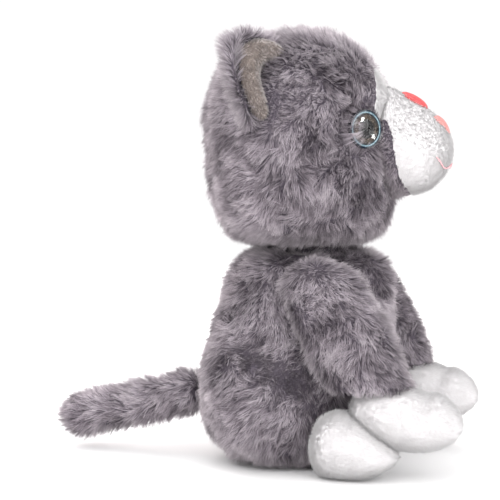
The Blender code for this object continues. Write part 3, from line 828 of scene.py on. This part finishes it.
def two_tone_finish():
    """Grey and white backings sewn edge to edge, with the piece's own attribute telling which is where."""
    finish = Finish("grey_and_white_backing", (0.4, 0.4, 0.4), 0.88, Specular_IOR_Level=0.05)
    streaks = finish.noise(900.0, 4.0, 0.7)
    share = finish.add("Attribute", {"attribute_name": "white_share", "output": "Fac"}).step(0.4, 0.6)
    # Partly painted shade: the grey backing's near-black colours also stand in for the shade down among the roots.
    grey = finish.mix(streaks.step(0.3, 0.7), (0.040, 0.034, 0.044), (0.14, 0.12, 0.145))
    white = finish.mix(streaks.step(0.3, 0.7), (0.82, 0.80, 0.81), (0.90, 0.885, 0.89))
    finish.set(**{"Base Color": finish.mix(share, grey, white)})
    finish.bump(streaks, 0.4, 0.0004)
    return finish.material


def mark_white(skin, white):
    """Writes down which of a skin's points are on white plush."""
    share = skin.data.attributes.new("white_share", "FLOAT", "POINT")
    share.data.foreach_set("value", white(points_of(skin)[0]).astype(np.float32))


TWO_TONE = two_tone_finish()
head_skin = soft_copy("head_skin", "head_cover", TWO_TONE, "head", "grey_plush")
places, facing = points_of(head_skin)
front = np.clip((-places[:, 1] - 0.012) / 0.020, 0, 1) * np.clip((places[:, 2] - 0.180) / 0.012, 0, 1)
groove = BROW_GROOVE * front * np.exp(-(places[:, 0] / BROW_GROOVE_WIDTH) ** 2)
bridge = np.exp(-((places[:, 2] - BRIDGE_HEIGHT) / 0.005) ** 2 - (places[:, 0] / 0.016) ** 2)
bridge = bridge * (places[:, 1] < BLAZE_FRONT)
set_points(head_skin, places - facing * (groove - BRIDGE_BULGE * bridge)[:, None])
mark_white(head_skin, in_blaze)
grow_panels("head_pile", 4, head_skin, from_the_face, "head", head_roots, GREY_PILE, "grey_plush", 71,
            shorten=head_length, darken=eye_patch_and_lit_crown)



def toward_eye(points, normals):
    side = np.where(points[:, :1] > 0, 1.0, -1.0) * np.array(eye_places["left"].x) * np.array([[1.0, 0, 0]])
    return unit(side + np.array([[0, eye_places["left"].y, eye_places["left"].z]]) - points)


def behind_eye(points, normals):
    """A crescent of the cover just behind each eye, where the cover is drawn in."""
    near = eye_distance(points)
    in_band = (near > EYE_CLEARING + 0.0016) & (near < EYE_CLEARING + 0.0065)
    return in_band & (points[:, 1] > eye_places["left"].y + 0.0040)


grow_panels("eye_tuft", 1, head_skin, toward_eye, "head", behind_eye, GREY_PILE, "grey_plush", 77,
            length=0.0108, lean=0.86, stray=0.20, swirls=0.25)

# ---------------------------------------------------------------------------------------------
# Face panel: white short-pile plush from a point on the forehead, over the bridge, to the chin.
# The grey cheeks are sewn over its sides, so short grey pile covers it up to the curved seam.


def down_the_face(points, normals):
    way = np.zeros_like(points)
    way[:, 2] = -1.0
    way[:, 0] = np.sign(points[:, 0]) * 0.6
    return way


def face_roots(points, normals):
    return (points[:, 1] < -0.034) & before_seam(points)


def before_seam(points):
    return in_blaze(points) | ~behind_seam(points)


def cheek_roots(points, normals):
    in_front = (points[:, 1] < -0.030) & behind_seam(points)
    return in_front & ~in_blaze(points) & (eye_distance(points) > EYE_CLEARING)


def blaze_roots(points, normals):
    return in_blaze(points)


def cheek_length(points):
    seam = np.interp(points[:, 2], SEAM_HEIGHTS, SEAM_PLACES)
    from_seam = np.clip((points[:, 1] - seam) / 0.010, 0, 1)
    return 0.45 + 0.55 * from_seam * np.clip((0.168 - points[:, 2]) / 0.02, 0, 1)


FACE_CUT = {**SHORT, "length": 0.0024, "per_m2": 4.5e6, "width": 0.00015}
face_skin = soft_copy("face_skin", "face_panel", TWO_TONE, "head", "white_plush", cell=0.0022, smooth=4)
mark_white(face_skin, before_seam)
grow_panels("face_pile", 2, face_skin, down_the_face, "head", face_roots, WHITE_PILE, "white_plush", 81,
            **FACE_CUT)
grow_panels("blaze_pile", 1, head_skin, down_the_face, "head", blaze_roots, WHITE_PILE, "white_plush", 85,
            **FACE_CUT)
grow_panels("cheek_pile", 1, face_skin, from_the_face, "head", cheek_roots, GREY_PILE, "grey_plush", 87,
            per_m2=5.5e6, shorten=cheek_length, darken=eye_patch_and_lit_crown)

# ---------------------------------------------------------------------------------------------
# Nose, bridge patch and mouth: satin stitch in shiny thread, laid side by side straight through
# the face panel, and one running line of thinner thread for each side of the mouth.
STITCH_RADIUS = 0.00030
STITCH_PITCH = 0.00046
STITCH_SIDES = 6
NOSE_HALF_WIDTH = 0.0082
NOSE_LENGTH = 0.0126
NOSE_PLACE = Vector((0, -0.0745, 0.1790))
NOSE_DOWN = Vector((0, -0.51, -0.86))
PATCH_HALF_WIDTH = 0.0064
PATCH_LENGTH = 0.0160
PATCH_PLACE = Vector((0, -0.0588, 0.1915))
PATCH_DOWN = Vector((0, -0.89, -0.46))
MOUTH_HALF_WIDTH = 0.0205
MOUTH_HEIGHT = 0.1585
MOUTH_DIP = 0.0030
MOUTH_THREAD_RADIUS = 0.00038


def thread_finish(name, colour, dark):
    """Rayon embroidery thread: glossy, with the twist of its two plies and a shade that differs by stitch."""
    finish = Finish(name, colour, 0.42, Sheen_Weight=0.2, Specular_IOR_Level=0.5)
    twist = finish.noise(2600.0, 2.0, 0.5)
    patch = finish.noise(420.0, 2.0, 0.5)
    mixed = finish.mix(twist.step(0.35, 0.65) * 0.5, colour, dark)
    finish.set(**{"Base Color": finish.mix(patch.step(0.4, 0.7) * 0.35, mixed, dark)})
    finish.bump(twist, 0.4, 0.0002)
    return finish.material


def tubes(name, routes, radius, sides=STITCH_SIDES):
    """Closed round threads along routes of points, as one mesh."""
    shape = bmesh.new()
    for route in routes:
        rows = []
        last = len(route) - 1
        for i, place in enumerate(route):
            run = (route[min(i + 1, last)] - route[max(i - 1, 0)]).normalized()
            side = run.orthogonal().normalized()
            up = run.cross(side)
            size = radius * (0.55 if i in (0, last) else 1.0)
            turns = [2 * pi * k / sides for k in range(sides)]
            rows.append([shape.verts.new(place + (side * cos(t) + up * sin(t)) * size) for t in turns])
        for low, high in zip(rows, rows[1:]):
            twist = min(range(sides), key=lambda k: (high[k].co - low[0].co).length)
            for k in range(sides):
                j = (k + 1) % sides
                shape.faces.new((low[k], low[j], high[(j + twist) % sides], high[(k + twist) % sides]))
            rows[rows.index(high)][:] = high[twist:] + high[:twist]
        shape.faces.new(rows[0][::-1])
        shape.faces.new(rows[-1])
    bmesh.ops.recalc_face_normals(shape, faces=shape.faces)
    mesh = bpy.data.meshes.new(name)
    shape.to_mesh(mesh)
    shape.free()
    mesh.shade_smooth()
    return mesh


def satin(name, surface, centre, down, length, half_width, padding, crosswise=Vector((1, 0, 0))):
    """Rows of stitches across a padded shape; half_width gives a row's half width from its place, 0 to 1."""
    routes = []
    rows = int(length / STITCH_PITCH)
    for row in range(rows + 1):
        v = row / rows
        half = half_width(v)
        crown = padding * max(0.0, 1 - (2 * v - 1) ** 2) ** 0.5
        route = []
        for i in range(11):
            u = -1 + i / 5
            flat = centre + crosswise * half * u + down * length * (v - 0.5)
            place, normal = surface.find_nearest(flat)[:2]
            route.append(place + normal * (STITCH_RADIUS * 0.4 + crown * (1 - u * u) ** 0.5))
        routes.append(route)
    return tubes(name, routes, STITCH_RADIUS)


def nose_half(v):
    top = 0.80 + 0.20 * sin(min(1.0, v * 3) * pi / 2)
    return NOSE_HALF_WIDTH * top * (1 - 0.72 * max(0.0, v - 0.25) / 0.75)


def oval_half(v):
    return PATCH_HALF_WIDTH * max(0.08, 1 - (2 * v - 1) ** 2) ** 0.5


face_surface = surface_of(face_skin)
add_piece(
    "nose_stitches",
    satin("nose_stitches", face_surface, NOSE_PLACE, NOSE_DOWN, NOSE_LENGTH, nose_half, 0.0013),
    thread_finish("coral_thread", (0.87, 0.33, 0.30), (0.72, 0.20, 0.19)),
    "head", "coral_thread", "nose_embroidery",
)
patch = add_piece(
    "bridge_patch_stitches",
    satin("bridge_patch_stitches", face_surface, PATCH_PLACE, PATCH_DOWN, PATCH_LENGTH, oval_half, 0.0024),
    thread_finish("red_thread", (0.80, 0.10, 0.10), (0.55, 0.04, 0.05)),
    "head", "red_thread", "bridge_patch",
)
pink = thread_finish("pink_thread", (0.88, 0.46, 0.49), (0.72, 0.30, 0.34))
for side, sign in (("left", 1), ("right", -1)):
    route = []
    for i in range(13):
        along = i / 12
        wide = 0.0008 + MOUTH_HALF_WIDTH * along
        height = MOUTH_HEIGHT - MOUTH_DIP * sin(pi * along) + MOUTH_DIP * along ** 2
        place, normal = face_surface.ray_cast(Vector((wide * sign, -0.12, height)), Vector((0, 1, 0)))[:2]
        route.append(place + normal * 0.0014)
    mesh = tubes("mouth_stitch_" + side, [route], MOUTH_THREAD_RADIUS)
    add_piece("mouth_stitch_" + side, mesh, pink, "head", "pink_thread", "mouth_thread_" + side)

# ---------------------------------------------------------------------------------------------
# Eyes: moulded safety eyes. A clear dome over a disc printed as pupil, glitter iris and pale ring,
# in a black cup whose ribbed post goes through the head cover to a toothed washer.
EYE_TURN = radians(45)
EYE_RADIUS = 0.0100
DOME_HEIGHT = 0.0058
DISC_THICKNESS = 0.0006


def dome_finish():
    """Clear polished plastic: what is under it shows, and its front mirrors the lamps."""
    finish = Finish("clear_dome", (1, 1, 1), 0.03)
    tree = finish.tree
    clear = tree.nodes.new("ShaderNodeBsdfTransparent")
    gloss = tree.nodes.new("ShaderNodeBsdfGlossy")
    gloss.inputs["Roughness"].default_value = 0.03
    rise = finish.add("LayerWeight", {"output": "Facing"}, 0.5)
    mix = tree.nodes.new("ShaderNodeMixShader")
    finish.plug(mix.inputs[0], 0.045 + 0.8 * rise ** 5)
    tree.links.new(clear.outputs[0], mix.inputs[1])
    tree.links.new(gloss.outputs[0], mix.inputs[2])
    tree.links.new(mix.outputs[0], tree.nodes["Material Output"].inputs["Surface"])
    tree.nodes.remove(finish.shader)
    return finish.material


DOME_GAP = 0.0002


def iris_finish(side, frame_of_eye):
    """The printed disc, from its middle: pupil, brown glitter iris, dark line, pale ring and navy edge."""
    finish = Finish("printed_iris_" + side, (0.05, 0.05, 0.06), 0.55, Specular_IOR_Level=0.05)
    place, turn, _ = frame_of_eye.decompose()
    local = finish.add(
        "Mapping", {"vector_type": "TEXTURE"}, finish.place(), tuple(place), tuple(turn.to_euler()), (EYE_RADIUS,) * 3
    )
    split = finish.add("SeparateXYZ", {}, local).socket.node
    x, y = Value(finish, split.outputs[0]), Value(finish, split.outputs[1])
    radius = (x * x + y * y) ** 0.5
    rays = finish.noise(5.0, 4.0, 0.7, vector=finish.add("VectorMath", {"operation": "NORMALIZE"}, local))
    sparks = finish.add("TexVoronoi", {"output": "Color"}, Vector=local, Scale=26.0)
    spark = finish.add("SeparateColor", {}, sparks)
    brown = finish.mix(rays.step(0.35, 0.65), (0.016, 0.010, 0.007), (0.085, 0.056, 0.034))
    brown = finish.mix(spark.step(0.74, 0.95) * 0.7, brown, (0.17, 0.15, 0.12))
    ring = finish.mix(spark.step(0.2, 0.9), (0.09, 0.19, 0.25), (0.42, 0.55, 0.60))
    colour = finish.mix(radius.step(0.47, 0.51), (0.001, 0.001, 0.0015), brown)
    colour = finish.mix(radius.step(0.66, 0.76), colour, (0.006, 0.011, 0.016))
    colour = finish.mix(radius.step(0.795, 0.82), colour, ring)
    colour = finish.mix(radius.step(0.865, 0.885), colour, (0.003, 0.014, 0.030))
    finish.set(**{"Base Color": colour})
    return finish.material


black = Finish("black_eye_cup", (0.008, 0.009, 0.012), 0.18, Specular_IOR_Level=0.6)
black.set(**{"Coat Weight": 0.4, "Coat Roughness": 0.05})
scuffs = black.noise(300.0, 3.0)
black.set(Roughness=0.12 + 0.12 * scuffs)
black.bump(scuffs, 0.05, 0.0001)
clear_dome = dome_finish()
for side, sign in (("left", 1), ("right", -1)):
    look = Vector((sin(EYE_TURN) * sign, -cos(EYE_TURN), 0))
    disc_low, disc_high = (Vector(corner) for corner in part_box("eye_iris_disc_" + side))
    turned = look.to_track_quat("Z", "Y").to_matrix().to_4x4()
    frame_of_eye = Matrix.Translation((disc_low + disc_high) / 2) @ turned

    bpy.ops.object.select_all(action="DESELECT")
    bpy.ops.mesh.primitive_cylinder_add(vertices=64, radius=EYE_RADIUS * 0.955, depth=DISC_THICKNESS)
    disc = bpy.context.object
    bpy.ops.object.mode_set(mode="EDIT")
    bpy.ops.mesh.select_all(action="SELECT")
    bpy.ops.mesh.bevel(offset=0.00012, segments=2, affect="EDGES")
    bpy.ops.object.mode_set(mode="OBJECT")
    disc_mesh = disc.data.copy()
    bpy.data.objects.remove(disc)
    disc_mesh.transform(frame_of_eye)
    iris = iris_finish(side, frame_of_eye)
    add_piece("iris_disc_" + side, disc_mesh, iris, "head", "iris_print", "eye_iris_disc_" + side)

    bpy.ops.object.select_all(action="DESELECT")
    bpy.ops.mesh.primitive_uv_sphere_add(segments=64, ring_count=32, radius=EYE_RADIUS)
    dome = bpy.context.object
    bpy.ops.object.mode_set(mode="EDIT")
    bpy.ops.mesh.select_all(action="SELECT")
    bpy.ops.mesh.bisect(plane_co=(0, 0, 0.00001), plane_no=(0, 0, 1), use_fill=True, clear_inner=True)
    bpy.ops.object.mode_set(mode="OBJECT")
    dome_mesh = dome.data.copy()
    bpy.data.objects.remove(dome)
    flatten = Matrix.Diagonal((1, 1, DOME_HEIGHT / EYE_RADIUS, 1))
    raise_dome = Matrix.Translation((0, 0, DISC_THICKNESS / 2 + DOME_GAP)) @ flatten
    dome_mesh.transform(frame_of_eye @ raise_dome)
    dome_mesh.shade_smooth()
    add_piece("clear_dome_" + side, dome_mesh, clear_dome, "head", "clear_plastic", "eye_dome_" + side)

    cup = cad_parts["eye_cup_" + side]
    cup.data.materials.clear()
    cup.data.materials.append(black.material)

# ---------------------------------------------------------------------------------------------
# Ears: a padded back of the grey plush, and a cupped lining of warm grey velboa, whip-stitched
# round its edge with dark thread and sewn into the head's seam.
EAR_TILT = radians(42)
EAR_TURN = radians(14)
EAR_CELL = 0.0014
EAR_REACH = 0.0215
LINING_ROLL = 0.0050
EAR_ROOT = Vector((0.052, 0.014, 0.197))


def velboa_finish():
    """Fine warm grey pile, brushed in small streaks."""
    finish = Finish("velboa_pile", (0.30, 0.25, 0.22), 0.8, Sheen_Weight=0.35, Specular_IOR_Level=0.2)
    tone, along, _ = pile_parts(finish)
    tips = finish.mix(tone, (0.17, 0.142, 0.132), (0.58, 0.505, 0.478))
    finish.set(**{"Base Color": finish.mix(along.step(0.0, 0.8), (0.08, 0.066, 0.062), tips)})
    return finish.material


def velboa_skin_finish():
    finish = Finish("velboa_backing", (0.16, 0.135, 0.12), 0.9, Specular_IOR_Level=0.1)
    grain = finish.noise(1600.0, 3.0)
    finish.set(**{"Base Color": finish.mix(grain.step(0.3, 0.7), (0.10, 0.083, 0.075), (0.24, 0.20, 0.18))})
    finish.bump(grain, 0.5, 0.0004)
    return finish.material


VELBOA_PILE = velboa_finish()
VELBOA_SKIN = velboa_skin_finish()
DARK_THREAD = thread_finish("dark_thread", (0.055, 0.045, 0.055), (0.02, 0.016, 0.02))
for side, sign in (("left", 1), ("right", -1)):
    ear_up = Vector((sin(EAR_TILT) * sign, 0, cos(EAR_TILT)))
    ear_face = Vector((sin(EAR_TURN) * sign, -cos(EAR_TURN), 0))
    ear_face = (ear_face - ear_up * ear_face.dot(ear_up)).normalized()
    ear_across = ear_up.cross(ear_face).normalized()
    ear_root = Vector((EAR_ROOT.x * sign, EAR_ROOT.y, EAR_ROOT.z))

    lining_skin = soft_copy(
        "ear_lining_skin_" + side, "ear_lining_" + side, VELBOA_SKIN, "head", "ear_velboa",
        cell=EAR_CELL * 0.8, hull=False, smooth=9, cloth=False,
    )
    places, facing = points_of(lining_skin)
    face_way = np.array(ear_face)
    spread = np.linalg.norm(across(places - np.array(ear_root), face_way[None]), axis=1) / EAR_REACH
    roll = np.clip(facing @ face_way, 0, None) * np.clip((spread - 0.45) / 0.25, 0, 1)
    set_points(lining_skin, places + face_way * (LINING_ROLL * roll)[:, None])
    apply_modifier(lining_skin, "SMOOTH", factor=0.5, iterations=6)
    lining_surface = surface_of(lining_skin)

    def outward(points, normals, root=ear_root, face=ear_face):
        return unit(points - np.array(root)) - np.array(face) * 0.5

    def ear_down(points, normals, up=ear_up, face=ear_face):
        return np.tile(np.array(-up * 0.8 + face * 0.3), (len(points), 1))

    def ear_behind(points, normals, face=ear_face, surface=lining_surface):
        clear = np.array([surface.find_nearest(Vector(point))[3] > 0.0013 for point in points])
        return (normals @ np.array(face) < 0.30) | clear

    def ear_rim_light(points, root=ear_root):
        """Painted rim light: the pile is painted palest out at the rim, where it stands up to the light."""
        return -0.30 * np.clip((np.linalg.norm(points - np.array(root), axis=1) - 0.010) / 0.014, 0, 1)

    def ear_front(points, normals, face=ear_face):
        return normals @ np.array(face) > -0.45

    ear_skin = soft_copy(
        "ear_back_skin_" + side, "ear_back_" + side, GREY_SKIN, "head", "grey_plush",
        cell=EAR_CELL, hull=False, smooth=5, cloth=False,
    )
    grow_panels("ear_pile_" + side, 1, ear_skin, outward, "head", ear_behind, GREY_PILE, "grey_plush", 91, lean=0.62,
                stray=0.35, lock=5, gather=0.25, swirls=0.4, darken=ear_rim_light)
    grow_panels("ear_lining_pile_" + side, 1, lining_skin, ear_down, "head", ear_front, VELBOA_PILE, "ear_velboa", 95,
                **VELBOA_CUT)

    places = points_of(lining_skin)[0]
    stitches = []
    for turn in np.linspace(-1.75, 1.75, 40):
        way = ear_across * sin(turn) + ear_up * cos(turn)
        rim = Vector(places[np.argmax(places @ np.array(way) - 0.4 * (places @ np.array(ear_face)))])
        start = rim - way * 0.0004 + ear_face * 0.0010
        end = rim + way * 0.0014 - ear_face * 0.0012
        stitches.append([start, rim + way * 0.0008, end])
    mesh = tubes("ear_stitches_" + side, stitches, 0.00032)
    add_piece("ear_stitches_" + side, mesh, DARK_THREAD, "head", "seam_thread")

# ---------------------------------------------------------------------------------------------
# Inside: the neck's ball of filling under its own plush, loose polyester fibre in every cover,
# the cotton bag of pellets that makes the kitten sit, the washers and the drawn-up neck thread.


def fibre_finish():
    finish = Finish("polyester_fibre", (0.9, 0.9, 0.88), 0.9, Sheen_Weight=0.4)
    wisps = finish.noise(500.0, 5.0, 0.75)
    finish.set(**{"Base Color": finish.mix(wisps.step(0.3, 0.7), (0.74, 0.74, 0.73), (0.94, 0.94, 0.92))})
    finish.bump(wisps, 0.8, 0.0015)
    return finish.material


def pellet_cloth_finish():
    finish = Finish("pellet_bag_cloth", (0.85, 0.84, 0.80), 0.85)
    cells = finish.add("TexVoronoi", {"output": "Distance"}, Vector=finish.place(), Scale=260.0)
    finish.set(**{"Base Color": finish.mix(cells.step(0.1, 0.6), (0.90, 0.89, 0.85), (0.66, 0.65, 0.61))})
    finish.bump(cells, 0.6, 0.001)
    return finish.material


def nylon_finish():
    finish = Finish("nylon_washer", (0.85, 0.85, 0.82), 0.45)
    flow = finish.noise(200.0, 2.0)
    finish.set(**{"Base Color": finish.mix(flow, (0.80, 0.80, 0.77), (0.90, 0.90, 0.88))})
    finish.bump(flow, 0.1, 0.0002)
    return finish.material


FIBRE = fibre_finish()
PELLET_CLOTH = pellet_cloth_finish()
NYLON = nylon_finish()
inside = {
    "body_stuffing": FIBRE, "head_stuffing": FIBRE, "muzzle_stuffing": FIBRE, "tail_stuffing": FIBRE,
    "pellet_bag": PELLET_CLOTH, "eye_washer_left": NYLON, "eye_washer_right": NYLON,
    "neck_seam_thread": DARK_THREAD,
}
for node, material in inside.items():
    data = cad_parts[node].data
    data.materials.clear()
    data.materials.append(material)

neck_skin = soft_copy("neck_skin", "neck_stuffing", GREY_SKIN, "neck", "fibre", cell=0.003)
